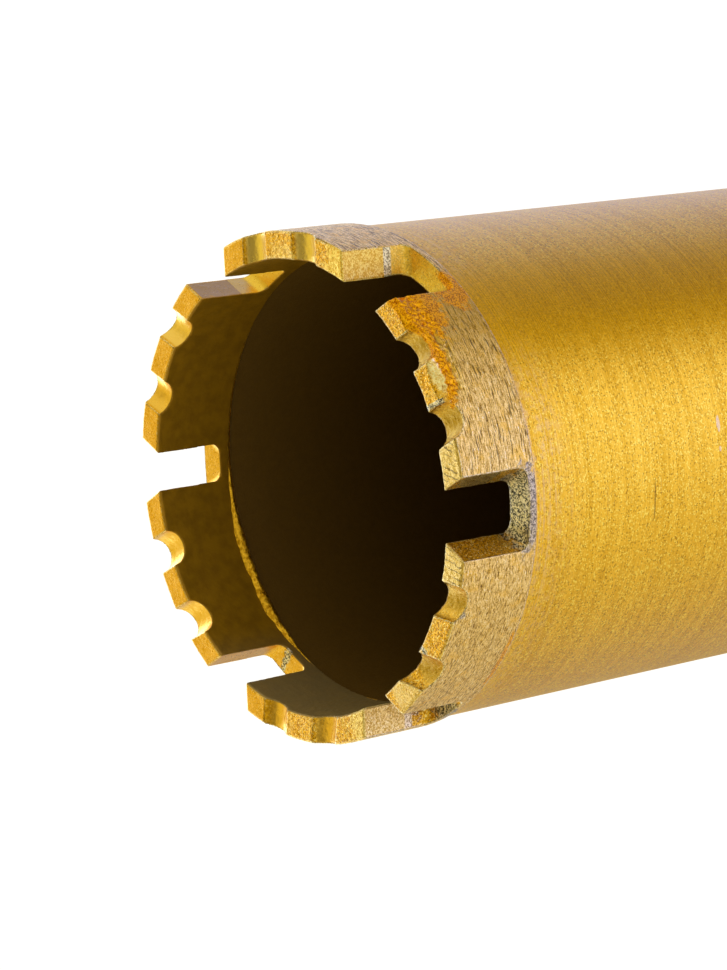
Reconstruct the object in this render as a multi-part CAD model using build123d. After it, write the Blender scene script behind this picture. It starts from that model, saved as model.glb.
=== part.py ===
from build123d import *
import os

# Diamond core bit, millimetres.
# The bit stands on the flat end of its hub, with its axis on Z and its crown at the top.
# The origin is the centre of the hub's flat end.

# Crown: six diamond segments on the raised pads of one crown ring
bit_diameter = 63.0          # over the ground outside of the crown, the size of the hole it drills
segment_thickness = 3.5      # radial thickness of the crown
segment_length = 23.2        # between the two parallel ends of a segment
segment_height = 6.4         # diamond layer above its pad
seat_shift = [1.1, 1.5, -0.1, 0.0, -1.9, -0.7]  # degrees off even spacing, as each was hand set
pad_height = 3.6             # pad above the slot floor
band_height = 1.5            # closed band of the ring under the slots
slot_corner_radius = 1.2     # fillet between a pad's end and the slot floor
ring_back_chamfer = 0.35     # outer rear edge of the crown ring

# Teeth: two grooves across each segment leave three teeth, and each segment is formed a little differently
groove_width = 4.5           # across the mouth of a groove
groove_pitch = 9.6           # between the two grooves of a segment
groove_depth = [0.9, 1.65, 2.2, 0.9, 1.6, 1.9]
groove_offset = [0.35, -0.35, 0.4, -0.8, -0.1, -0.1]  # off the segment's middle, at its inner face
groove_skew = [0, 5, -4, -9, 24, 0]  # degrees off the segment's own radial line
tooth_round = 0.22           # worn edges of the teeth

# Barrel: plain steel tube
crown_relief = 0.6           # how far the crown stands proud of the barrel's outside
barrel_wall = 2.0
barrel_length = 150.0
barrel_end_chamfer = 0.4

# Braze left in the corner between the ring's overhang and the bore of the barrel
braze_overhang_gap = 0.1     # the braze stops this far short of the ring's inner face
braze_drop = 1.1             # how far it runs down the barrel's bore

# End plate: a disc let into the rear of the barrel
plate_thickness = 7.0
plate_recess = 2.0           # depth of the plate inside the barrel's rear edge
plate_clearance = 0.05       # radial, in the barrel
plate_chamfer = 0.5

# Hub: threaded boss for the machine's spindle
hub_diameter = 36.0
hub_length = 30.0            # below the plate
hub_chamfer = 1.2
spigot_diameter = 28.0       # part of the hub that goes through the plate
spigot_clearance = 0.05      # radial, in the plate
thread_diameter = 22.0       # across the roots of the M22 female thread
thread_depth = 26.0
thread_chamfer = 1.4
water_passage_diameter = 13.0
flats_width = 32.0           # across the two spanner flats
flats_height = 14.0

# Weld beads
plate_weld_leg = 1.8         # barrel to plate
hub_weld_leg = 3.0           # plate to hub

# Levels up the axis
barrel_base = hub_length - plate_recess
plate_base = hub_length
plate_top = plate_base + plate_thickness
barrel_top = barrel_base + barrel_length
slot_floor = barrel_top + band_height
seat_level = slot_floor + pad_height
tip_level = seat_level + segment_height

# Radii
crown_radius = bit_diameter / 2
core_radius = crown_radius - segment_thickness
barrel_radius = crown_radius - crown_relief
bore_radius = barrel_radius - barrel_wall
plate_radius = bore_radius - plate_clearance
hub_radius = hub_diameter / 2
spigot_radius = spigot_diameter / 2
thread_radius = thread_diameter / 2

segment_count = len(seat_shift)


def seat_angle(index):
    """Angle of a segment's middle about the axis, in degrees."""
    return index * 360 / segment_count + seat_shift[index]


def turned(points):
    """Solid of revolution about Z from a closed outline of (radius, height) points."""
    outline = make_face(Polyline(*[(r, 0, z) for r, z in points], close=True))
    return revolve(outline, Axis.Z)


def crown_wall(base, height):
    """Closed cylindrical wall with the crown's inside and outside radii."""
    outside = Cylinder(crown_radius, height, align=(Align.CENTER, Align.CENTER, Align.MIN))
    core = Cylinder(core_radius, height, align=(Align.CENTER, Align.CENTER, Align.MIN))
    return Pos(0, 0, base) * (outside - core)


def block_outline():
    """Front view of a segment before its grooves, with rounded top corners."""
    block = Pos(0, seat_level) * Rectangle(segment_length, segment_height, align=(Align.CENTER, Align.MIN))
    return fillet(block.vertices().group_by(Axis.Y)[-1], tooth_round)


def groove(index, side):
    """Round bar that cuts one groove of a segment; the skew turns about the segment's inner face."""
    depth = groove_depth[index]
    radius = (groove_width ** 2 / 4 + depth ** 2) / (2 * depth)
    bar = Rot(0, 90, 0) * Cylinder(radius, crown_radius)
    across = groove_offset[index] + side * groove_pitch / 2
    square_on = Pos(0, across, tip_level - depth + radius) * bar
    return Pos(core_radius, 0, 0) * Rot(0, 0, groove_skew[index]) * square_on


def segment(index):
    """Diamond segment: a block cut from the crown's wall, with two grooves across its tip."""
    wall = turned([
        (core_radius, seat_level),
        (crown_radius, seat_level),
        (crown_radius, tip_level - tooth_round),
        (crown_radius - tooth_round, tip_level),
        (core_radius + tooth_round, tip_level),
        (core_radius, tip_level - tooth_round),
    ])
    body = extrude(Plane.YZ * block_outline(), crown_radius) & wall
    for side in (-1, 1):
        body -= groove(index, side)
    return Rot(0, 0, seat_angle(index)) * body


def pad_outline():
    """Front view of a pad, flared at its foot by the rounded corners of the slots beside it."""
    half = segment_length / 2
    toe = half + slot_corner_radius
    shoulder = slot_floor + slot_corner_radius
    base = Polyline((-toe, slot_floor), (-toe, barrel_top), (toe, barrel_top), (toe, slot_floor))
    right_corner = RadiusArc((toe, slot_floor), (half, shoulder), slot_corner_radius)
    top = Polyline((half, shoulder), (half, seat_level), (-half, seat_level), (-half, shoulder))
    left_corner = RadiusArc((-half, shoulder), (-toe, slot_floor), slot_corner_radius)
    return make_face([base, right_corner, top, left_corner])


def pad():
    """Raised pad that carries one segment, on +X."""
    slab = extrude(Plane.YZ * pad_outline(), crown_radius)
    return slab & crown_wall(barrel_top, band_height + pad_height)


def crown_ring():
    """Ring with one raised pad for each segment and rounded corners in its slots."""
    ring = crown_wall(barrel_top, band_height)
    one_pad = pad()
    for index in range(segment_count):
        ring += Rot(0, 0, seat_angle(index)) * one_pad
    rear_rim = [
        edge
        for edge in ring.edges().filter_by(GeomType.CIRCLE)
        if abs(edge.center().Z - barrel_top) < ring_back_chamfer / 10
        and edge.radius > (crown_radius + core_radius) / 2
    ]
    return chamfer(rear_rim, ring_back_chamfer)


def barrel():
    """Plain tube with a small chamfer at its rear edges."""
    edge = barrel_end_chamfer
    return turned([
        (bore_radius, barrel_base + edge),
        (bore_radius + edge, barrel_base),
        (barrel_radius - edge, barrel_base),
        (barrel_radius, barrel_base + edge),
        (barrel_radius, barrel_top),
        (bore_radius, barrel_top),
    ])


def inner_braze():
    """Fillet of braze in the corner between the ring's overhang and the barrel's bore."""
    return turned([
        (core_radius + braze_overhang_gap, barrel_top),
        (bore_radius, barrel_top),
        (bore_radius, barrel_top - braze_drop),
    ])


def end_plate():
    """Disc that closes the rear of the barrel around the hub's spigot."""
    hole_radius = spigot_radius + spigot_clearance
    return turned([
        (hole_radius, plate_base),
        (plate_radius, plate_base),
        (plate_radius, plate_top - plate_chamfer),
        (plate_radius - plate_chamfer, plate_top),
        (hole_radius, plate_top),
    ])


def hub():
    """Threaded boss with a spigot through the plate, a water passage and spanner flats."""
    passage_radius = water_passage_diameter / 2
    body = turned([
        (thread_radius + thread_chamfer, 0),
        (hub_radius - hub_chamfer, 0),
        (hub_radius, hub_chamfer),
        (hub_radius, plate_base),
        (spigot_radius, plate_base),
        (spigot_radius, plate_top),
        (passage_radius, plate_top),
        (passage_radius, thread_depth),
        (thread_radius, thread_depth),
        (thread_radius, thread_chamfer),
    ])
    for side in (-1, 1):
        waste = Box(hub_diameter, hub_diameter, flats_height, align=(Align.CENTER, Align.MIN, Align.MIN))
        body -= Rot(0, 0, 90 - side * 90) * Pos(0, flats_width / 2, 0) * waste
    return body


def weld_bead(corner_radius, leg):
    """Bead in the corner under the plate; a negative leg runs inwards from its wall."""
    return turned([
        (corner_radius, plate_base),
        (corner_radius + leg, plate_base),
        (corner_radius, plate_base - abs(leg)),
    ])


def write_part(shape, name):
    """Save one piece as its own STEP file."""
    shape.label = name
    export_step(shape, f"parts/{name}.step")


os.makedirs("parts", exist_ok=True)
for number in range(segment_count):
    write_part(segment(number), f"segment_{number + 1}")
write_part(crown_ring(), "crown_ring")
write_part(inner_braze(), "inner_braze")
write_part(barrel(), "barrel")
write_part(end_plate(), "end_plate")
write_part(hub(), "hub")
write_part(weld_bead(bore_radius, -plate_weld_leg), "plate_weld")
write_part(weld_bead(hub_radius, hub_weld_leg), "hub_weld")
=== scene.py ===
import math

import bmesh
import bpy
import numpy
from mathutils import Matrix, Vector, noise


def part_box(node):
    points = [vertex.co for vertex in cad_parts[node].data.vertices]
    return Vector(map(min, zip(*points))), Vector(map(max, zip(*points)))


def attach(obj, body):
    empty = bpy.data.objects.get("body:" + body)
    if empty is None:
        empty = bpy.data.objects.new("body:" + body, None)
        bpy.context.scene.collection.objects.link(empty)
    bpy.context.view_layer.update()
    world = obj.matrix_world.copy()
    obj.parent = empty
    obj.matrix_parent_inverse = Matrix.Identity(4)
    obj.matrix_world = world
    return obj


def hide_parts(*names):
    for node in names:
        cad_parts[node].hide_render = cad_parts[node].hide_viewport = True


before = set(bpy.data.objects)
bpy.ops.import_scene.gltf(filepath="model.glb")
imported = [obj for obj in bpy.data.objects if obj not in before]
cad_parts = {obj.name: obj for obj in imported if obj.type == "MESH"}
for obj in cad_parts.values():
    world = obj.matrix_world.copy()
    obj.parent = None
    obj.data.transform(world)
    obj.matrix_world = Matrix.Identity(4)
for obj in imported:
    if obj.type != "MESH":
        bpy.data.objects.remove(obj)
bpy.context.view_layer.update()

MM = 0.001

# Sizes read from the frame, in metres
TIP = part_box("segment_1")[1].z
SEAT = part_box("segment_1")[0].z
CROWN_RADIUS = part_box("crown_ring")[1].x
CROWN_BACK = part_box("crown_ring")[0].z
BARREL_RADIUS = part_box("barrel")[1].x
BARREL_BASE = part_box("barrel")[0].z
BORE_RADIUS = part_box("inner_braze")[1].x
BRAZE_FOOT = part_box("inner_braze")[0].z
PLATE_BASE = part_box("end_plate")[0].z
HUB_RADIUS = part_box("hub")[1].x
HUB_WELD_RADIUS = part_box("hub_weld")[1].x
PLATE_WELD_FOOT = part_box("plate_weld")[0].z

# Sizes that the frame's boxes don't give
SEGMENT_THICKNESS = 3.5 * MM
CORE_RADIUS = CROWN_RADIUS - SEGMENT_THICKNESS
BAND_HEIGHT = 1.5 * MM
SLOT_FLOOR = CROWN_BACK + BAND_HEIGHT
BARREL_CHAMFER = 0.4 * MM
HATCH_TURN = math.radians(-16)   # direction across the cuts on two of the tooth tips
HATCH_PITCH = 0.75 * MM
SEAM_MARGIN = 1.0 * MM           # extra height that is cut off again, so that the seams stay sharp
SEGMENT_VOXEL = 0.14 * MM
RING_VOXEL = 0.18 * MM
THREAD_RADIUS = 11.0 * MM
THREAD_PITCH = 2.5 * MM
THREAD_RIDGE = 1.35 * MM         # height of the thread's ridge
THREAD_START = 2.6 * MM          # level of its first turn
THREAD_TURNS = 8.6
HUB_WELD_RIPPLES = 44
PLATE_WELD_RIPPLES = 70
BROKEN_FROM, BROKEN_TO = -66, -37    # degrees round the axis, of the broken outer tip edge
SWELL_TURN = 122                 # degrees round the axis, where the braze swells most
SEGMENTS = [f"segment_{number}" for number in range(1, 7)]


# ---------------------------------------------------------------- shader sums
class Wire:
    """A shader socket that Python's operators do sums on."""

    def __init__(self, tree, socket):
        self.tree = tree
        self.socket = socket

    def maths(self, operation, *values):
        sockets = dict(enumerate(values))
        return add_node(self.tree, "ShaderNodeMath", {"operation": operation}, sockets)

    def __add__(self, other):
        return self.maths("ADD", self, other)

    def __sub__(self, other):
        return self.maths("SUBTRACT", self, other)

    def __rsub__(self, other):
        return self.maths("SUBTRACT", other, self)

    def __mul__(self, other):
        return self.maths("MULTIPLY", self, other)

    def __truediv__(self, other):
        return self.maths("DIVIDE", self, other)

    __radd__ = __add__
    __rmul__ = __mul__


def add_node(tree, kind, settings=None, sockets=None, output=0):
    """Any node: its settings first, then the values or links of its sockets."""
    node = tree.nodes.new(kind)
    for name, value in (settings or {}).items():
        if name == "stops":
            set_stops(node.color_ramp, value)
        else:
            setattr(node, name, value)
    for name, value in (sockets or {}).items():
        if isinstance(value, Wire):
            tree.links.new(value.socket, node.inputs[name])
        else:
            node.inputs[name].default_value = value
    return Wire(tree, node.outputs[output]) if node.outputs else None


def set_stops(ramp, stops):
    """Gives a ramp its stops, each a place and a grey level or a colour."""
    while len(ramp.elements) < len(stops):
        ramp.elements.new(0.5)
    for element, (place, level) in zip(ramp.elements, stops):
        element.position = place
        element.color = (*level, 1) if isinstance(level, tuple) else (level, level, level, 1)


def rise(value, start, end):
    """0 below start, 1 above end, and smooth between; start above end falls instead."""
    low, high = min(start, end), max(start, end)
    settings = {"interpolation_type": "SMOOTHSTEP"}
    sockets = {"Value": value, "From Min": low, "From Max": high}
    risen = add_node(value.tree, "ShaderNodeMapRange", settings, sockets)
    return risen if end > start else 1 - risen


def blend_colours(amount, first, second):
    """Colour between first and second."""
    settings = {"data_type": "RGBA"}
    sockets = {0: amount, 6: colour_value(first), 7: colour_value(second)}
    return add_node(amount.tree, "ShaderNodeMix", settings, sockets, output=2)


def colour_value(colour):
    return colour if isinstance(colour, Wire) else (*colour, 1)


class Finish:
    """A material with the places on the object that its patterns are laid out by."""

    def __init__(self, name):
        self.material = bpy.data.materials.new(name)
        self.material.use_nodes = True
        self.tree = self.material.node_tree
        self.tree.nodes.clear()
        self.place = add_node(self.tree, "ShaderNodeTexCoord", output=3)
        parts = self.tree.nodes.new("ShaderNodeSeparateXYZ")
        self.tree.links.new(self.place.socket, parts.inputs[0])
        self.x, self.y, self.z = (Wire(self.tree, socket) for socket in parts.outputs)
        self.radius = self.x.maths("SQRT", self.x * self.x + self.y * self.y)
        self.turn = self.x.maths("ARCTAN2", self.y, self.x)
        self.degrees = self.turn * (180 / math.pi)
        self.below = (TIP - self.z) / MM      # millimetres below the tips
        self.ragged = self.grain(0.9 * MM, detail=4, shift=11, roughness=0.65)

    def grain(self, size, detail=2.0, shift=0.0, roughness=0.5):
        """Noise between 0 and 1, with grains of a size in metres."""
        moved = add_node(self.tree, "ShaderNodeMapping", {}, {
            "Vector": self.place, "Location": (shift, shift, shift)})
        return add_node(self.tree, "ShaderNodeTexNoise", {}, {
            "Vector": moved, "Scale": 1 / size, "Detail": detail, "Roughness": roughness})

    def around(self, length, height, detail=2.0, shift=0.0, sway=0.0):
        """Noise in marks that run round the axis: their length is an angle in radians."""
        level = self.z / height
        if sway:
            level = level + self.grain(1.1 * MM, shift=5) * sway
        where = add_node(self.tree, "ShaderNodeCombineXYZ", {}, {
            0: self.turn / length + shift, 1: level, 2: self.radius / height})
        return add_node(self.tree, "ShaderNodeTexNoise", {}, {
            "Vector": where, "Scale": 1.0, "Detail": detail})

    def cells(self, size):
        """Random level in each cell of a size in metres."""
        settings = {"feature": "F1"}
        sockets = {"Vector": self.place, "Scale": 1 / size}
        random = add_node(self.tree, "ShaderNodeTexVoronoi", settings, sockets, output=1)
        return add_node(self.tree, "ShaderNodeSeparateColor", {}, {0: random})

    def edges(self):
        """How far the surface stands out: positive on edges, negative in corners."""
        return add_node(self.tree, "ShaderNodeAttribute", {"attribute_name": "edge"}, output=2)

    def spot(self, turn, below_tip, half_width, half_height, ragged=0.5):
        """1 in a patch with an uneven edge: degrees round the axis, millimetres below the tip."""
        aside = (self.degrees - turn) / half_width
        down = (self.below - below_tip) / half_height
        away = self.x.maths("SQRT", aside * aside + down * down)
        return rise(away + (self.ragged - 0.5) * ragged * 3, 1.15, 0.85)

    def spots(self, places, ragged=0.5):
        return sum(self.spot(*place, ragged=ragged) for place in places)

    def bump(self, height, distance):
        sockets = {"Height": height, "Distance": distance, "Strength": 1.0}
        return add_node(self.tree, "ShaderNodeBump", {}, sockets)

    def done(self, **sockets):
        """Closes the material with its surface shader."""
        named = {name.replace("_", " "): value for name, value in sockets.items()}
        shader = add_node(self.tree, "ShaderNodeBsdfPrincipled", {}, named)
        add_node(self.tree, "ShaderNodeOutputMaterial", {}, {"Surface": shader})
        return self.material


# ---------------------------------------------------------------- finishes
# Barrel
PAINT_GOLD = (0.92, 0.56, 0.034)
PAINT_DEEP = (0.70, 0.38, 0.010)
PAINT_FLAKE = (1.0, 0.78, 0.10)
PAINT_SHADE = (0.30, 0.15, 0.005)
# painted shade: fuller, deeper gold for one band round the tube
PAINT_SHADE_BAND = ((0.56, 0.30, 0.0), (1.0, 0.59, 0.0))
PAINT_RUBBED = (0.76, 0.53, 0.19)
LINE_SCRATCH = (0.26, 0.18, 0.07)
DEEP_SCRATCH = (0.14, 0.08, 0.01)
CHIPPED_PAINT = (0.72, 0.62, 0.40)
DARK_BORE = (0.155, 0.078, 0.004)
DARKER_BORE = (0.10, 0.05, 0.003)

# Hub, plate, welds, braze and thread
PAINT_DIRT = (0.25, 0.14, 0.02)
BRAZE_GOLD = ((0.55, 0.28, 0.01), (1.0, 0.62, 0.05))
STEEL = ((0.30, 0.29, 0.28), (0.56, 0.54, 0.52))
STEEL_STAIN = (0.16, 0.11, 0.06)

# Pressed faces of the crown
SEGMENT_GRIT = ((0.48, 0.20, 0.003), (1.0, 0.57, 0.03))
RING_GRIT = ((0.50, 0.22, 0.005), (1.0, 0.60, 0.05))
# painted glints on the grit, and painted shade in its pits
GRIT_GLINT = (1.0, 0.88, 0.42)
GRIT_PAINTED_PIT_SHADE = (0.14, 0.075, 0.008)
GRIT_DUST = (0.66, 0.50, 0.17)
# painted shade in the corners
GRIT_PAINTED_CORNER_SHADE = (0.20, 0.10, 0.008)
# painted light in the grooves: paler gold, painted shade at their bottom and a painted highlight
GROOVE_PAINTED_LIGHT = (1.0, 0.68, 0.17)
GROOVE_PAINTED_SHADE = (0.34, 0.22, 0.03)
GROOVE_PAINTED_HIGHLIGHT = (1.0, 0.80, 0.32)
# painted light on the ring's +x side
RING_PAINTED_LIGHT = (1.0, 0.76, 0.16)
CHIPPED_EDGE = ((0.12, 0.075, 0.02), (0.92, 0.84, 0.60))

# Ground outside and the core's face
GROUND_METAL = ((0.46, 0.26, 0.03), (1.0, 0.72, 0.22))
GROUND_LONG = (0.44, 0.30, 0.10)
GROUND_GOLD = (0.95, 0.56, 0.05)
# painted highlight on the tops of the ground lines
GROUND_PAINTED_HIGHLIGHT = (1.0, 0.90, 0.56)
# painted shade: olive on one side of the crown's outer face
GROUND_PAINTED_SHADE = (0.54, 0.31, 0.004)
# painted shade in the gaps between the ground lines
GROUND_PAINTED_GAP_SHADE = (0.10, 0.06, 0.012)
GROUND_ENGRAVED = (0.12, 0.075, 0.016)
# painted shade: darker tones for the core's inner faces, duller grey-olive on the -x side
CORE_FACE_PAINTED_SHADE = ((0.25, 0.125, 0.001), (0.34, 0.17, 0.002))
CORE_PAINTED_DULL_SHADE = (0.26, 0.22, 0.12)

# Marks on the crown
BARE_METAL = ((0.07, 0.065, 0.07), (0.86, 0.76, 0.62))
BARE_OUTSIDE = ((0.22, 0.18, 0.10), (0.62, 0.50, 0.26))
BROKEN_EDGE = ((0.52, 0.17, 0.0005), (1.0, 0.50, 0.01))
BROKEN_FACET = ((0.90, 0.66, 0.24), (1.0, 0.94, 0.60))
PALE_PAD_END = ((0.34, 0.27, 0.14), (1.0, 0.92, 0.68))
PALE_END = ((0.60, 0.39, 0.07), (1.0, 0.82, 0.36))
# painted light on one end face
PAINTED_LIGHT_END = ((0.80, 0.46, 0.04), (1.0, 0.80, 0.24))
DARKER_END = ((0.10, 0.085, 0.03), (0.50, 0.43, 0.20))
SMOOTH_END = (0.54, 0.36, 0.10)
CUT_FACE = ((0.62, 0.40, 0.12), (1.0, 0.80, 0.40))
CUT_LINE = (0.16, 0.11, 0.05)

# Places of the marks: degrees round the axis, millimetres below the tips, and half of each extent
PAINT_SCRATCH = (-94.6, 31.0, 4.4, 0.10)
PAINT_CHIP_LONG = (-79.5, 42.4, 1.6, 0.24)
PAINT_CHIP_SMALL = (-85.5, 42.3, 0.6, 0.18)
BARE_SLOTS = [(-91, 10.0, 9.5, 2.3), (-151, 8.6, 5.5, 2.2), (147.2, 9.0, 1.6, 1.3)]
RING_PATCH = (-38, 8.8, 6.5, 2.6)
SCRAPED_JOINT = (-129, 10.7, 9, 0.35)
PALE_PAD_SPOTS = [(-19, 7.0, 6, 1.8), (-154, 7.0, 5, 2.0)]
BARE_RIMS = [(-65.3, 0.3, 0.6, 1.2), (-126.2, 0.3, 0.7, 1.2)]
BARE_NICK = (-113, 1.3, 0.8, 0.45)
BROKEN_SPOTS = [(-42.5, 2.3, 9, 3.8), (-58, 1.5, 8, 1.5)]
FACET_SPOT = (-60, 0.4, 4.6, 0.9)
# painted light on one end face
PAINTED_LIGHT_END_SPOT = (-20, 3.2, 5, 4.5)
PALE_END_SPOT = (-158, 3.2, 6, 4.5)
PALE_TIP_SPOT = (1, 0, 4.5, 1)
SMOOTH_END_SPOT = (39.5, 3.2, 3.0, 4.5)
DARKER_END_SPOT = (-81, 4.6, 4.5, 4.2)
CUT_SPOTS = [(-103, 0, 7, 2), (-79, 0, 6, 2)]
WORN_TIP_SPOT = (-139, 0, 4, 2)


def gold_paint():
    """Metallic paint with fine flakes over the turned lines of the tube."""
    skin = Finish("gold_paint")
    flakes = skin.cells(0.17 * MM)
    fine = skin.grain(0.24 * MM, detail=3, roughness=0.7)
    lines = skin.around(0.9, 0.15 * MM, detail=3)
    broad_lines = skin.around(1.6, 0.9 * MM, detail=2, shift=7)
    near_crown = rise(skin.z, CROWN_BACK - 9 * MM, CROWN_BACK)
    tone = rise(fine * 0.32 + lines * 0.48 + broad_lines * 0.20, 0.40, 0.60)
    paint = blend_colours(tone, PAINT_DEEP, PAINT_GOLD)
    paint = blend_colours(rise(flakes, 0.78, 0.95) * 0.8, paint, PAINT_FLAKE)
    paint = blend_colours(rise(flakes, 0.18, 0.04) * 0.65, paint, PAINT_SHADE)
    scratches = rise(skin.around(0.12, 0.09 * MM, detail=1, shift=3), 0.68, 0.76)
    paint = blend_colours(scratches * (0.35 + near_crown * 0.4), paint, LINE_SCRATCH)
    worn_lines = skin.around(0.5, 0.22 * MM, detail=3, shift=9)
    rubbed = rise(skin.ragged * 0.5 + worn_lines * 0.5, 0.44, 0.62) * near_crown
    paint = blend_colours(rubbed * 0.55, paint, PAINT_RUBBED)
    # painted shade: fuller, deeper gold on the band between -64 and -26 degrees round the tube
    painted_shade_band = rise(skin.degrees, -64, -50) * rise(skin.degrees, -26, -40)
    painted_shade_tone = rise(fine * 0.5 + lines * 0.5, 0.36, 0.64)
    paint = blend_colours(painted_shade_band * 0.8, paint, blend_colours(painted_shade_tone, *PAINT_SHADE_BAND))
    scratch = skin.spot(*PAINT_SCRATCH, ragged=0.05)
    paint = blend_colours(scratch * 0.6, paint, DEEP_SCRATCH)
    chips = skin.spot(*PAINT_CHIP_LONG, ragged=0.8) + skin.spot(*PAINT_CHIP_SMALL)
    paint = blend_colours(chips * 0.45, paint, CHIPPED_PAINT)
    inside = rise(skin.radius, BORE_RADIUS + 0.6 * MM, BORE_RADIUS + 0.2 * MM)
    colour = blend_colours(inside, paint, blend_colours(skin.ragged, DARKER_BORE, DARK_BORE))
    height = fine * 0.4 + lines * 1.1 + flakes * 0.5 - scratch * 2
    return skin.done(
        Base_Color=colour,
        Metallic=1 - inside * 0.6,
        Roughness=0.33 + flakes * 0.14 + near_crown * 0.06 + inside * 0.25,
        Coat_Weight=0.03 - inside * 0.03,
        Coat_Roughness=0.30,
        Normal=skin.bump(height, 0.021 * MM),
    )


class CrownFinish(Finish):
    """Sintered crown: ground round the outside, gritty on its ends, smooth inside and darkened
    there by painted shade.
    """

    def __init__(self, name):
        super().__init__(name)
        self.grit = self.cells(0.15 * MM)
        self.fine = self.grain(0.17 * MM, detail=4, roughness=0.7)
        self.coarse = self.grain(1.5 * MM, detail=3, shift=2)
        self.specks = rise(self.grit * 0.5 + self.fine * 0.5, 0.35, 0.65)
        lines = self.around(0.045, 0.17 * MM, detail=3, sway=2)
        short_lines = self.around(0.017, 0.16 * MM, detail=3, shift=4)
        upper = rise(self.degrees, -98, -84) * rise(self.y, 0, -8 * MM)
        self.streaks = short_lines * (0.65 - upper * 0.35) + lines * (0.35 + upper * 0.35)
        self.outside = rise(self.radius, CROWN_RADIUS - 0.24 * MM, CROWN_RADIUS - 0.10 * MM)
        self.inside = rise(self.radius, CORE_RADIUS + 0.24 * MM, CORE_RADIUS + 0.10 * MM)
        self.faces = 1 - self.outside
        self.end_faces = self.faces * (1 - self.inside)
        self.grainy = rise(self.y, 13 * MM, -4 * MM) * 0.62 + 0.2
        edge = self.edges()
        self.ridge = rise(edge + (self.fine - 0.5) * 0.16, 0.04, 0.11)
        # painted shade: darkens the corners where faces meet
        self.corner = rise(edge * -1, 0.08, 0.2)
        self.chipped = blend_colours(rise(self.fine, 0.44, 0.54), *CHIPPED_EDGE)

    def speckled(self, tones):
        """Two tones in the pattern of the specks."""
        return blend_colours(self.specks, *tones)

    def pressed(self, tones):
        """Faces that keep the grit they were pressed with, with painted glints on its raised
        grains and painted shade in its pits.
        """
        grit, fine, grainy = self.grit, self.fine, self.grainy
        tone = (rise(grit * 0.55 + fine * 0.45, 0.34, 0.62) - 0.62) * grainy + 0.62
        colour = blend_colours(tone, *tones)
        # painted highlights: glints on the raised grains
        colour = blend_colours(rise(grit, 0.84, 0.94) * grainy * 0.9, colour, GRIT_GLINT)
        # painted shade: darker pits where the grit lies low
        painted_pit_shade = rise(grit * 0.4 + fine * 0.6, 0.36, 0.29)
        colour = blend_colours(painted_pit_shade * grainy * 0.65, colour, GRIT_PAINTED_PIT_SHADE)
        dusty = rise(self.coarse, 0.54, 0.70) * (grainy - 0.2)
        colour = blend_colours(dusty * 0.6, colour, GRIT_DUST)
        # painted shade in the corners
        return blend_colours(self.corner * 0.5, colour, GRIT_PAINTED_CORNER_SHADE)

    def ground(self):
        """Outside, ground in short lines, with painted highlights on them, painted shade in the
        gaps that run round between them and a painted shade of olive on one side.
        """
        streaks, fine = self.streaks, self.fine
        colour = blend_colours(rise(streaks * 0.65 + fine * 0.35, 0.42, 0.56), *GROUND_METAL)
        long_streaks = self.around(0.16, 0.26 * MM, detail=3, shift=5, sway=3)
        colour = blend_colours(rise(long_streaks, 0.56, 0.66) * 0.4, colour, GROUND_LONG)
        colour = blend_colours(rise(self.coarse, 0.50, 0.70) * 0.5, colour, GROUND_GOLD)
        # painted highlights on the tops of the ground lines
        colour = blend_colours(rise(streaks * 0.5 + fine * 0.5, 0.56, 0.62), colour, GROUND_PAINTED_HIGHLIGHT)
        # painted shade: olive on the outer face between -62 and -42 degrees round the axis
        painted_shade_olive = rise(self.degrees, -62, -42) * rise(self.x, 27 * MM, 24 * MM)
        painted_shade_olive = painted_shade_olive * rise(self.y, 0, -6 * MM)
        colour = blend_colours(painted_shade_olive * 0.6, colour, GROUND_PAINTED_SHADE)
        # painted shade in the gaps between the ground lines
        painted_gap_shade = rise(streaks * 0.6 + fine * 0.4, 0.43, 0.39)
        colour = blend_colours(painted_gap_shade * 0.9, colour, GROUND_PAINTED_GAP_SHADE)
        engraved = rise(self.around(0.09, 0.30 * MM, detail=4, shift=8, sway=1.2), 0.42, 0.37)
        engraved = engraved * rise(self.degrees, -98, -78)
        colour = blend_colours(engraved * 0.8, colour, GROUND_ENGRAVED)
        return blend_colours(self.ridge * 0.6, colour, self.chipped)

    def all_round(self, pressed):
        """The ground outside and the core's face in painted shade, with the pressed faces between
        them.
        """
        pressed = blend_colours(self.ridge * (0.45 + self.grainy * 0.4), pressed, self.chipped)
        # painted shade: the core's inner faces darker than the rest of the crown
        core = blend_colours(rise(self.coarse, 0.30, 0.70), *CORE_FACE_PAINTED_SHADE)
        # painted shade: a duller grey-olive on the inner faces on the -x side
        core = blend_colours(rise(self.x, -20 * MM, -27 * MM) * 0.6, core, CORE_PAINTED_DULL_SHADE)
        unground = blend_colours(self.inside, pressed, core)
        return blend_colours(self.outside, unground, self.ground())

    def marked(self, colour, pale, pale_tones, patches, broken, bare):
        """Adds pale ends, broken patches on the outer edge and spots of bare metal."""
        colour = blend_colours(pale, colour, self.speckled(pale_tones))
        outer_edge = rise(self.radius, CROWN_RADIUS - 1.2 * MM, CROWN_RADIUS - 0.8 * MM)
        colour = blend_colours(patches * outer_edge, colour, broken)
        grey = blend_colours(
            self.outside * 0.75, self.speckled(BARE_METAL), self.speckled(BARE_OUTSIDE))
        return blend_colours(bare, colour, grey)

    def broken(self):
        return blend_colours(rise(self.fine * 0.6 + self.grit * 0.4, 0.34, 0.60), *BROKEN_EDGE)

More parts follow.
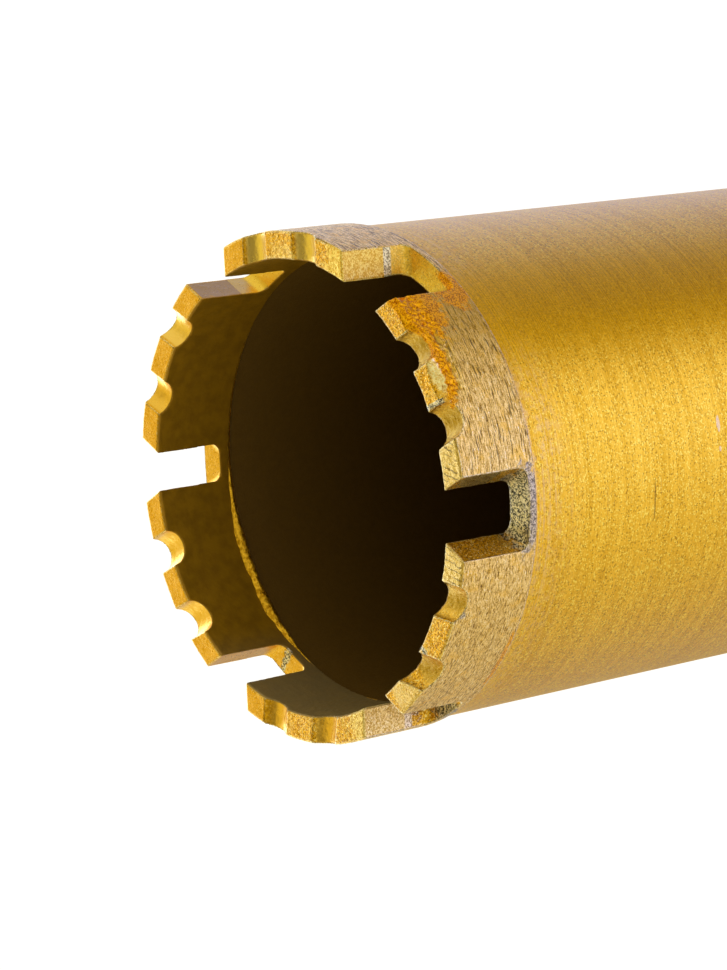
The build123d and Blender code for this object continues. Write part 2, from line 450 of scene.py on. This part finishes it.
    def crown_done(self, colour, patches, groove=0):
        """Closes the material; the upright ends on the +x side are duller than the rest."""
        off_floor = rise(self.z, SLOT_FLOOR + 0.3 * MM, SLOT_FLOOR + 0.7 * MM)
        upright = rise(self.below, 0.3, 0.6) * off_floor * self.end_faces
        upright = upright * (1 - groove) * rise(self.x, 25 * MM, 29 * MM)
        ground_share = self.outside * (1 - patches)
        ground_height = self.streaks * 1.5 + self.fine * 0.6
        grit_height = (self.grit * 0.5 + self.fine * 0.9) * self.grainy
        height = ground_share * ground_height + (1 - ground_share) * grit_height
        roughness = 0.27 + self.outside * 0.10 + self.grit * 0.12
        return self.done(
            Base_Color=colour,
            Metallic=1 - self.inside * 0.45 - upright * 0.55,
            Roughness=roughness + self.inside * 0.18 + upright * 0.35,
            Normal=self.bump(height * (1 - self.inside * 0.8), 0.09 * MM),
        )


def crown_backing():
    """Finish of the crown ring: bare grey slot floors and pale pad ends at the joints."""
    skin = CrownFinish("crown_backing")
    colour = skin.all_round(skin.pressed(RING_GRIT))
    # painted light: the ring's end faces lighter towards the +x side
    painted_light_side = rise(skin.x, 16 * MM, 24 * MM) * skin.end_faces
    colour = blend_colours(painted_light_side * 0.5, colour, RING_PAINTED_LIGHT)
    joint = rise(skin.z, SEAT - 1.3 * MM, SEAT - 1.0 * MM)
    strong_end, weak_end = (skin.spot(*place) for place in PALE_PAD_SPOTS)
    pale = (strong_end + weak_end * 0.7) * joint * skin.faces
    patches = skin.spot(*RING_PATCH) + skin.spot(*SCRAPED_JOINT) * 0.8
    bare = skin.spots(BARE_SLOTS)
    colour = skin.marked(colour, pale, PALE_PAD_END, patches, skin.broken(), bare)
    return skin.crown_done(colour, patches)


def diamond_grit():
    """Finish of the segments: grooves with painted light and shade, worn and cut tips, a broken
    outer edge and varied ends, one with painted light.
    """
    skin = CrownFinish("diamond_grit")
    groove = segment_grooves(skin)
    smooth = groove * (0.7 - rise(skin.y, -10 * MM, -20 * MM) * 0.45)
    skin.grainy = skin.grainy * (1 - smooth)
    colour = skin.all_round(groove_colour(skin, groove, skin.pressed(SEGMENT_GRIT)))
    # painted light: bright gold on the end face at -20 degrees
    painted_light_end = skin.spot(*PAINTED_LIGHT_END_SPOT) * skin.faces
    colour = blend_colours(painted_light_end * 0.85, colour, skin.speckled(PAINTED_LIGHT_END))
    pale = skin.spot(*PALE_END_SPOT) * skin.faces * 0.7
    inner_half = rise(skin.radius, 30.2 * MM, 29.4 * MM)
    pale = pale + skin.spot(*PALE_TIP_SPOT) * inner_half * 0.35
    patches = skin.spots(BROKEN_SPOTS)
    facet = skin.spot(*FACET_SPOT, ragged=0.3)
    broken = blend_colours(facet * 0.9, skin.broken(), skin.speckled(BROKEN_FACET))
    middle_rim, inner_rim = (skin.spot(*place) for place in BARE_RIMS)
    bare = middle_rim * rise(skin.radius, 31.2 * MM, 30.8 * MM)
    bare = bare + inner_rim * rise(skin.radius, 29.6 * MM, 29.2 * MM)
    bare = bare + skin.spot(*BARE_NICK) * skin.outside
    colour = skin.marked(colour, pale, PALE_END, patches, broken, bare)
    colour = upright_ends(skin, colour)
    return skin.crown_done(cut_tips(skin, colour), patches, groove)


def segment_grooves(skin):
    """1 in the grooves of every segment."""
    from_middle = skin.turn.maths("WRAP", skin.degrees - 1.1, 30.0, -30.0)
    near_middle = rise(from_middle.maths("ABSOLUTE", from_middle), 16, 14)
    return rise(skin.below, 0.2, 0.5) * near_middle * skin.end_faces


def groove_colour(skin, groove, colour):
    """Painted light in the grooves: paler gold in all of them, painted shade at the bottom on the
    -y side and a painted highlight on the +x side.
    """
    # painted shade deep in the grooves on the -y side
    deep = groove * rise(skin.below, 0.7, 1.8) * rise(skin.y, 5 * MM, -10 * MM)
    # painted light: paler gold in the grooves
    colour = blend_colours(groove * 0.5, colour, GROOVE_PAINTED_LIGHT)
    colour = blend_colours(deep * 0.6, colour, GROOVE_PAINTED_SHADE)
    # painted highlight in the grooves on the +x side
    painted_groove_highlight = groove * rise(skin.x, 12 * MM, 24 * MM) * rise(skin.degrees, -42, -30)
    return blend_colours(painted_groove_highlight * 0.7, colour, GROOVE_PAINTED_HIGHLIGHT)


def upright_ends(skin, colour):
    """One smooth end and one darker, greyer end, below the tips."""
    ends = rise(skin.below, 0.2, 0.4) * skin.end_faces
    # darker, greyer colour on the end face at -81 degrees
    smooth, darker_end = skin.spot(*SMOOTH_END_SPOT) * ends, skin.spot(*DARKER_END_SPOT) * ends
    colour = blend_colours(smooth * 0.85, colour, SMOOTH_END)
    return blend_colours(darker_end * 0.7, colour, skin.speckled(DARKER_END))


def cut_tips(skin, colour):
    """Pale tips with the wavy lines of cuts across them, on both sides of one slot."""
    flat = rise(skin.below, 0.35, 0.2) * skin.faces
    cut = skin.spots(CUT_SPOTS, ragged=0.2)
    pale_face = blend_colours(rise(skin.fine, 0.38, 0.58), *CUT_FACE)
    pale_share = (cut + skin.spot(*WORN_TIP_SPOT) * 0.8) * flat
    colour = blend_colours(pale_share * 0.85, colour, pale_face)
    across = skin.x * math.cos(HATCH_TURN) + skin.y * math.sin(HATCH_TURN)
    wave = across * (math.tau / HATCH_PITCH) + skin.ragged * 9
    level = wave.maths("SINE", wave) * 0.5 + 0.5
    lines = rise(level, 0.16, 0.03) * rise(skin.coarse + skin.fine * 0.3, 0.58, 0.66)
    return blend_colours(cut * flat * lines * 0.8, colour, CUT_LINE)


def plain_gold(name, tones=(PAINT_DEEP, PAINT_GOLD), size=0.3 * MM, depth=0.03 * MM):
    """Gold over cast or welded metal."""
    skin = Finish(name)
    fine = skin.grain(size, detail=4)
    colour = blend_colours(rise(fine, 0.35, 0.65), *tones)
    dirt = rise(skin.ragged, 0.58, 0.72)
    return skin.done(
        Base_Color=blend_colours(dirt * 0.5, colour, PAINT_DIRT),
        Metallic=1.0,
        Roughness=0.36 + fine * 0.2,
        Normal=skin.bump(fine, depth),
    )


def bare_steel(name):
    """Cut steel with fine tool marks round the axis."""
    skin = Finish(name)
    marks = skin.around(0.8, 0.12 * MM, detail=3)
    stain = skin.grain(2.5 * MM, detail=4)
    colour = blend_colours(marks, *STEEL)
    colour = blend_colours(rise(stain, 0.5, 0.75) * 0.7, colour, STEEL_STAIN)
    return skin.done(
        Base_Color=colour,
        Metallic=1.0,
        Roughness=0.32 + stain * 0.25,
        Normal=skin.bump(marks, 0.02 * MM),
    )


# ---------------------------------------------------------------- mesh helpers
def new_piece(name, mesh, material, slot, *nodes):
    """Object at the origin that rides with the bit and stands for CAD nodes."""
    piece = bpy.data.objects.new(name, mesh)
    bpy.context.scene.collection.objects.link(piece)
    mesh.materials.clear()
    mesh.materials.append(material)
    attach(piece, "root")
    if nodes:
        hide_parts(*nodes)
    return piece


def merged_copy(node):
    """Closed copy of a CAD node's mesh."""
    shape = bmesh.new()
    shape.from_mesh(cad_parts[node].data)
    bmesh.ops.remove_doubles(shape, verts=shape.verts, dist=0.001 * MM)
    mesh = bpy.data.meshes.new(node + "_copy")
    shape.to_mesh(mesh)
    shape.free()
    return mesh


def stretched(mesh, level, shift):
    """Moves the flat face at a level up or down, where the sides beside it are upright."""
    for vertex in mesh.vertices:
        if abs(vertex.co.z - level) < 0.01 * MM:
            vertex.co.z += shift
    return mesh


def cut_flat(mesh, level, keep_above):
    """Cuts a mesh at a level, drops one side and closes the cut."""
    shape = bmesh.new()
    shape.from_mesh(mesh)
    everything = shape.verts[:] + shape.edges[:] + shape.faces[:]
    cut = bmesh.ops.bisect_plane(
        shape, geom=everything, dist=0.0001 * MM, plane_co=(0, 0, level), plane_no=(0, 0, 1),
        clear_inner=keep_above, clear_outer=not keep_above,
    )
    rim = [part for part in cut["geom_cut"] if isinstance(part, bmesh.types.BMEdge)]
    bmesh.ops.holes_fill(shape, edges=rim, sides=0)
    shape.to_mesh(mesh)
    shape.free()
    mesh.shade_smooth()
    mesh.set_sharp_from_angle(angle=math.radians(50))


def refined(mesh, voxel):
    """The same shape in small even faces."""
    carrier = bpy.data.objects.new("carrier", mesh)
    bpy.context.scene.collection.objects.link(carrier)
    remesh = carrier.modifiers.new("even", "REMESH")
    remesh.mode = "VOXEL"
    remesh.voxel_size = voxel
    bpy.context.view_layer.update()
    seen = carrier.evaluated_get(bpy.context.evaluated_depsgraph_get())
    fine = bpy.data.meshes.new_from_object(seen)
    bpy.data.objects.remove(carrier)
    return fine


def kept_in(place):
    """The nearest place that is not above the tips or outside the crown's radius."""
    shrink = min(1.0, CROWN_RADIUS / math.hypot(place.x, place.y))
    return Vector((place.x * shrink, place.y * shrink, min(place.z, TIP)))


def mark_edges(mesh, voxel):
    """Keeps how far each vertex stands out from its neighbours, in voxels, for the finishes."""
    count = len(mesh.vertices)
    places, normals = numpy.empty(count * 3), numpy.empty(count * 3)
    mesh.vertices.foreach_get("co", places)
    mesh.vertex_normals.foreach_get("vector", normals)
    places, normals = places.reshape(-1, 3), normals.reshape(-1, 3)
    ends = numpy.empty(len(mesh.edges) * 2, dtype=numpy.int32)
    mesh.edges.foreach_get("vertices", ends)
    first, second = ends.reshape(-1, 2).T
    around = numpy.zeros((count, 3))
    numpy.add.at(around, first, places[second])
    numpy.add.at(around, second, places[first])
    middle = around / numpy.bincount(ends, minlength=count)[:, None]
    standing_out = ((places - middle) * normals).sum(axis=1) / voxel
    mesh.attributes.new("edge", "FLOAT", "POINT").data.foreach_set("value", standing_out)


def roughen(mesh, depth_at):
    """Moves each vertex along its normal by depth_at(place, normal), but not out of the crown."""
    moved = [kept_in(v.co + v.normal * depth_at(v.co, v.normal)) for v in mesh.vertices]
    mesh.vertices.foreach_set("co", [number for place in moved for number in place])
    mesh.update()
    mesh.shade_smooth()


def turned_mesh(name, outline, steps, smooth_angle=30):
    """Closed outline of (radius, height) points turned about the axis."""
    shape = bmesh.new()
    ring = [shape.verts.new((r, 0, z)) for r, z in outline]
    for first, second in zip(ring, ring[1:] + ring[:1]):
        shape.edges.new((first, second))
    bmesh.ops.spin(
        shape, geom=shape.verts[:] + shape.edges[:], cent=(0, 0, 0), axis=(0, 0, 1),
        angle=math.tau, steps=steps, use_merge=True,
    )
    bmesh.ops.remove_doubles(shape, verts=shape.verts, dist=0.001 * MM)
    bmesh.ops.recalc_face_normals(shape, faces=shape.faces)
    mesh = bpy.data.meshes.new(name)
    shape.to_mesh(mesh)
    shape.free()
    mesh.shade_smooth()
    mesh.set_sharp_from_angle(angle=math.radians(smooth_angle))
    return mesh


# ---------------------------------------------------------------- pieces
def worn_corner(place, normal, ground):
    """How deep the outer tip edge is broken away at a place, in millimetres, as a flat facet."""
    turn = math.degrees(math.atan2(place.y, place.x))
    from_edge = (TIP - place.z + CROWN_RADIUS - math.hypot(place.x, place.y)) / MM
    loss = 0.12 + 0.22 * max(0.0, noise.noise(place * 260))
    crumbled = 0.0
    if BROKEN_FROM < turn < BROKEN_TO:
        loss = 0.85 + noise.noise(place * 300) * 0.7
        near_edge = min(1.0, max(0.0, 4.0 - from_edge))
        patch = near_edge * min(1.0, (BROKEN_TO - turn) / 2, (turn - BROKEN_FROM) / 4)
        crumbled = patch * ground * (0.08 + abs(noise.noise(place * 1300)) * 0.42)
    return max(0.0, loss - from_edge) / max(0.7, ground + normal.z) + crumbled


def crown_depth(place, normal):
    """Height of the crown's surface over its ideal shape: grit, wear and grinding."""
    radius = math.hypot(place.x, place.y)
    ground = max(0.0, normal.x * place.x + normal.y * place.y) / radius
    grit = noise.noise(place * 3400) * 0.045 + noise.noise(place * 1500) * 0.035
    wear = noise.noise(place * 420) * 0.06
    high = min(1.0, max(0.0, (place.z - SLOT_FLOOR) / (TIP - SLOT_FLOOR)))
    grainy = 0.4 + 0.6 * min(1.0, max(0.0, (13 * MM - place.y) / (17 * MM)))
    uneven = (grit * grainy + wear * high) * (1 - ground * 0.7)
    return (uneven - 0.02 - worn_corner(place, normal, ground)) * MM


def make_segments():
    grit = diamond_grit()
    for node in SEGMENTS:
        mesh = refined(stretched(merged_copy(node), SEAT, -SEAM_MARGIN), SEGMENT_VOXEL)
        mark_edges(mesh, SEGMENT_VOXEL)
        roughen(mesh, crown_depth)
        cut_flat(mesh, SEAT, keep_above=True)
        new_piece(node + "_worn", mesh, grit, "diamond_matrix", node)


def make_ring():
    metal = crown_backing()
    mesh = refined(stretched(merged_copy("crown_ring"), SEAT, SEAM_MARGIN), RING_VOXEL)
    mark_edges(mesh, RING_VOXEL)
    roughen(mesh, crown_depth)
    cut_flat(mesh, SEAT, keep_above=False)
    new_piece("crown_ring_worn", mesh, metal, "crown_backing", "crown_ring")


def make_barrel():
    edge = BARREL_CHAMFER
    outline = [
        (BORE_RADIUS, BARREL_BASE + edge),
        (BORE_RADIUS + edge, BARREL_BASE),
        (BARREL_RADIUS - edge, BARREL_BASE),
        (BARREL_RADIUS, BARREL_BASE + edge),
        (BARREL_RADIUS, CROWN_BACK),
        (BORE_RADIUS, CROWN_BACK),
    ]
    mesh = turned_mesh("barrel_tube", outline, 256)
    new_piece("barrel_tube", mesh, gold_paint(), "gold_paint", "barrel")


def bead_outline(corner_radius, width, level, height, points=7):
    """Quarter round that bulges out of the corner at a radius and a level."""
    outline = [(corner_radius, level)]
    for step in range(points):
        angle = math.radians(90 * step / (points - 1))
        outline.append((corner_radius + width * math.cos(angle), level - height * math.sin(angle)))
    return outline


def make_braze():
    """Lumpy line of braze behind the crown ring, which swells past the ring on one side."""
    outline = [
        (BORE_RADIUS, BRAZE_FOOT),
        (CORE_RADIUS - 0.35 * MM, CROWN_BACK - 0.15 * MM),
        (CORE_RADIUS - 0.50 * MM, CROWN_BACK + 0.10 * MM),
        (CORE_RADIUS - 0.45 * MM, CROWN_BACK + 0.40 * MM),
        (CORE_RADIUS - 0.05 * MM, CROWN_BACK + 0.85 * MM),
        (CORE_RADIUS + 0.30 * MM, CROWN_BACK + 1.10 * MM),
        (BORE_RADIUS, CROWN_BACK + 1.10 * MM),
    ]
    mesh = turned_mesh("braze_line", outline, 420, smooth_angle=80)

    def lumps(place, normal):
        turn = math.degrees(math.atan2(place.y, place.x))
        swell = min(1.0, max(0.0, 1.5 - abs(turn - SWELL_TURN) / 22))
        lump = noise.noise(place * 900) * 0.14 + noise.noise(place * 350) * 0.2
        return (lump * (0.3 + swell) - 0.55 + swell * 0.6) * MM

    roughen(mesh, lumps)
    gold = plain_gold("braze_gold", BRAZE_GOLD, size=0.5 * MM, depth=0.20 * MM)
    new_piece("braze_line", mesh, gold, "braze_metal", "inner_braze")


def make_weld(name, corner_radius, leg, ripples):
    """Weld bead in the corner under the plate, with the ripples of its passes."""
    outline = bead_outline(corner_radius, leg, PLATE_BASE, abs(leg))
    mesh = turned_mesh(name + "_bead", outline, ripples * 8, smooth_angle=80)

    def ripple(place, normal):
        turn = math.atan2(place.y, place.x)
        wave = math.cos(ripples * turn + 14 * (PLATE_BASE - place.z) / abs(leg))
        return (wave * 0.07 + noise.noise(place * 300) * 0.10 - 0.20) * MM

    roughen(mesh, ripple)
    new_piece(name + "_bead", mesh, plain_gold(name + "_paint"), "weld_metal", name)


def make_thread():
    """Ridge of the female thread, one closed helix against the wall of the hub's bore."""
    steps = 48
    root, crest = THREAD_RADIUS + 0.02 * MM, THREAD_RADIUS - THREAD_RIDGE
    half_root, half_crest = THREAD_PITCH * 0.46, THREAD_PITCH * 0.08
    outline = [
        (root, THREAD_START - half_root), (crest, THREAD_START - half_crest),
        (crest, THREAD_START + half_crest), (root, THREAD_START + half_root),
    ]
    shape = bmesh.new()
    ring = [shape.verts.new((r, 0, z)) for r, z in outline]
    first_end = shape.faces.new(ring)
    total = round(THREAD_TURNS * steps)
    bmesh.ops.spin(
        shape, geom=[first_end], cent=(0, 0, 0), axis=(0, 0, 1),
        dvec=(0, 0, THREAD_PITCH / steps), angle=math.tau * THREAD_TURNS, steps=total,
        use_merge=False,
    )
    bmesh.ops.remove_doubles(shape, verts=shape.verts, dist=0.001 * MM)
    bmesh.ops.recalc_face_normals(shape, faces=shape.faces)
    mesh = bpy.data.meshes.new("hub_thread")
    shape.to_mesh(mesh)
    shape.free()
    mesh.shade_smooth()
    mesh.set_sharp_from_angle(angle=math.radians(30))
    new_piece("hub_thread", mesh, bare_steel("thread_steel"), "hub_steel")


def dress_nodes():
    """Paint on the nodes that keep their own shape."""
    metal = plain_gold("hub_paint")
    for node in ("end_plate", "hub"):
        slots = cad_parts[node].data.materials
        slots.clear()
        slots.append(metal)


# ---------------------------------------------------------------- setting
CAMERA_AIM = Vector((1.773 * MM, -13.417 * MM, TIP))
CAMERA_DISTANCE = 400.64 * MM
CAMERA_AZIMUTH = -78.861     # degrees about Z, of the camera seen from its aim
CAMERA_ELEVATION = 38.653
CAMERA_ROLL = -99.395
CAMERA_LENS = 125.6


def make_camera():
    data = bpy.data.cameras.new("camera")
    data.lens = CAMERA_LENS
    data.clip_start = 0.01
    camera = bpy.data.objects.new("camera", data)
    bpy.context.scene.collection.objects.link(camera)
    azimuth, elevation = math.radians(CAMERA_AZIMUTH), math.radians(CAMERA_ELEVATION)
    back = Vector((
        math.cos(elevation) * math.cos(azimuth),
        math.cos(elevation) * math.sin(azimuth),
        math.sin(elevation),
    ))
    level = back.to_track_quat("Z", "Y").to_matrix().to_4x4()
    roll = Matrix.Rotation(math.radians(CAMERA_ROLL), 4, "Z")
    camera.matrix_world = Matrix.Translation(CAMERA_AIM + back * CAMERA_DISTANCE) @ level @ roll
    bpy.context.scene.camera = camera


def make_floor():
    """Pale floor that curves up into a wall far away."""
    shape = bmesh.new()
    outline = [(0, 0), (1.6, 0), (1.9, 0.08), (2.1, 0.35), (2.15, 1.8)]
    ring = [shape.verts.new((r, 0, z)) for r, z in outline]
    for first, second in zip(ring, ring[1:]):
        shape.edges.new((first, second))
    bmesh.ops.spin(
        shape, geom=shape.verts[:] + shape.edges[:], cent=(0, 0, 0), axis=(0, 0, 1),
        angle=math.tau, steps=96, use_merge=True,
    )
    bmesh.ops.remove_doubles(shape, verts=shape.verts, dist=MM)
    mesh = bpy.data.meshes.new("floor")
    shape.to_mesh(mesh)
    shape.free()
    mesh.shade_smooth()
    floor = bpy.data.objects.new("floor", mesh)
    bpy.context.scene.collection.objects.link(floor)
    pale = Finish("pale_floor")
    mesh.materials.append(pale.done(
        Base_Color=(0.35, 0.35, 0.35, 1),
        Roughness=0.9,
        Emission_Color=(1.0, 1.0, 1.0, 1),
        Emission_Strength=0.80,
    ))
    floor.visible_glossy = False
    floor.visible_shadow = False


# Light of the studio's lower half: degrees round from the camera's side, and a colour
LOW_ROUND = [
    (-180, (0.34, 0.30, 0.26)), (-155, (0.34, 0.30, 0.28)), (-120, (0.56, 0.52, 0.72)),
    (-60, (0.84, 0.78, 0.78)), (-28, (1.08, 1.06, 1.60)), (6, (1.42, 1.53, 3.8)),
    (26, (1.42, 1.40, 2.2)), (43, (0.56, 0.42, 0.0)), (62, (0.24, 0.16, 0.0)),
    (84, (0.31, 0.27, 0.30)), (104, (0.50, 0.50, 1.20)), (134, (0.70, 0.82, 1.9)),
    (160, (0.66, 0.72, 1.2)), (180, (0.34, 0.30, 0.26)),
]
ZENITH_LIGHT = (0.24, 0.20, 0.07)
SIDE_LIGHT = (0.90, 0.84, 0.50)
BACK_LIGHT = (0.97, 0.82, 0.20)
BACK_GLOW = (2.80, 3.20, 3.60)      # low behind the bit
SKY_STRENGTH = 2.0


def ramp_level(colour):
    return tuple(level / SKY_STRENGTH for level in colour)


def make_studio():
    world = bpy.data.worlds.new("studio")
    world.use_nodes = True
    bpy.context.scene.world = world
    tree = world.node_tree
    tree.nodes.clear()
    direction = add_node(tree, "ShaderNodeTexCoord", output=0)
    parts = tree.nodes.new("ShaderNodeSeparateXYZ")
    tree.links.new(direction.socket, parts.inputs[0])
    x, y, z = (Wire(tree, socket) for socket in parts.outputs)
    front = math.radians(CAMERA_AZIMUTH)
    ahead = x * math.cos(front) + y * math.sin(front)
    aside = y * math.cos(front) - x * math.sin(front)
    share = x.maths("ARCTAN2", aside, ahead) / math.tau + 0.5
    stops = [(turn / 360 + 0.5, ramp_level(colour)) for turn, colour in LOW_ROUND]
    low = add_node(tree, "ShaderNodeValToRGB", {"stops": stops}, {0: share})
    zenith, side, back, glow = (
        ramp_level(colour) for colour in (ZENITH_LIGHT, SIDE_LIGHT, BACK_LIGHT, BACK_GLOW))
    behind = rise(ahead * -1, 0.20, 0.65)
    high = blend_colours(behind, side, back)
    high = blend_colours(rise(z, 0.72, 0.88), high, zenith)
    light = blend_colours(rise(z, -0.52, -0.18), low, high)
    low_behind = rise(ahead * -1, 0.64, 0.84) * rise(z, -0.64, -0.50) * rise(z, 0.36, 0.16)
    light = blend_colours(low_behind, light, glow)
    sky = add_node(tree, "ShaderNodeBackground", {}, {0: light, 1: SKY_STRENGTH})
    add_node(tree, "ShaderNodeOutputWorld", {}, {"Surface": sky})


make_segments()
make_ring()
make_barrel()
make_braze()
make_weld("hub_weld", HUB_RADIUS, HUB_WELD_RADIUS - HUB_RADIUS, HUB_WELD_RIPPLES)
make_weld("plate_weld", BORE_RADIUS, PLATE_WELD_FOOT - PLATE_BASE, PLATE_WELD_RIPPLES)
make_thread()
dress_nodes()
make_camera()
make_floor()
make_studio()
bpy.context.scene.view_settings.view_transform = "Standard"
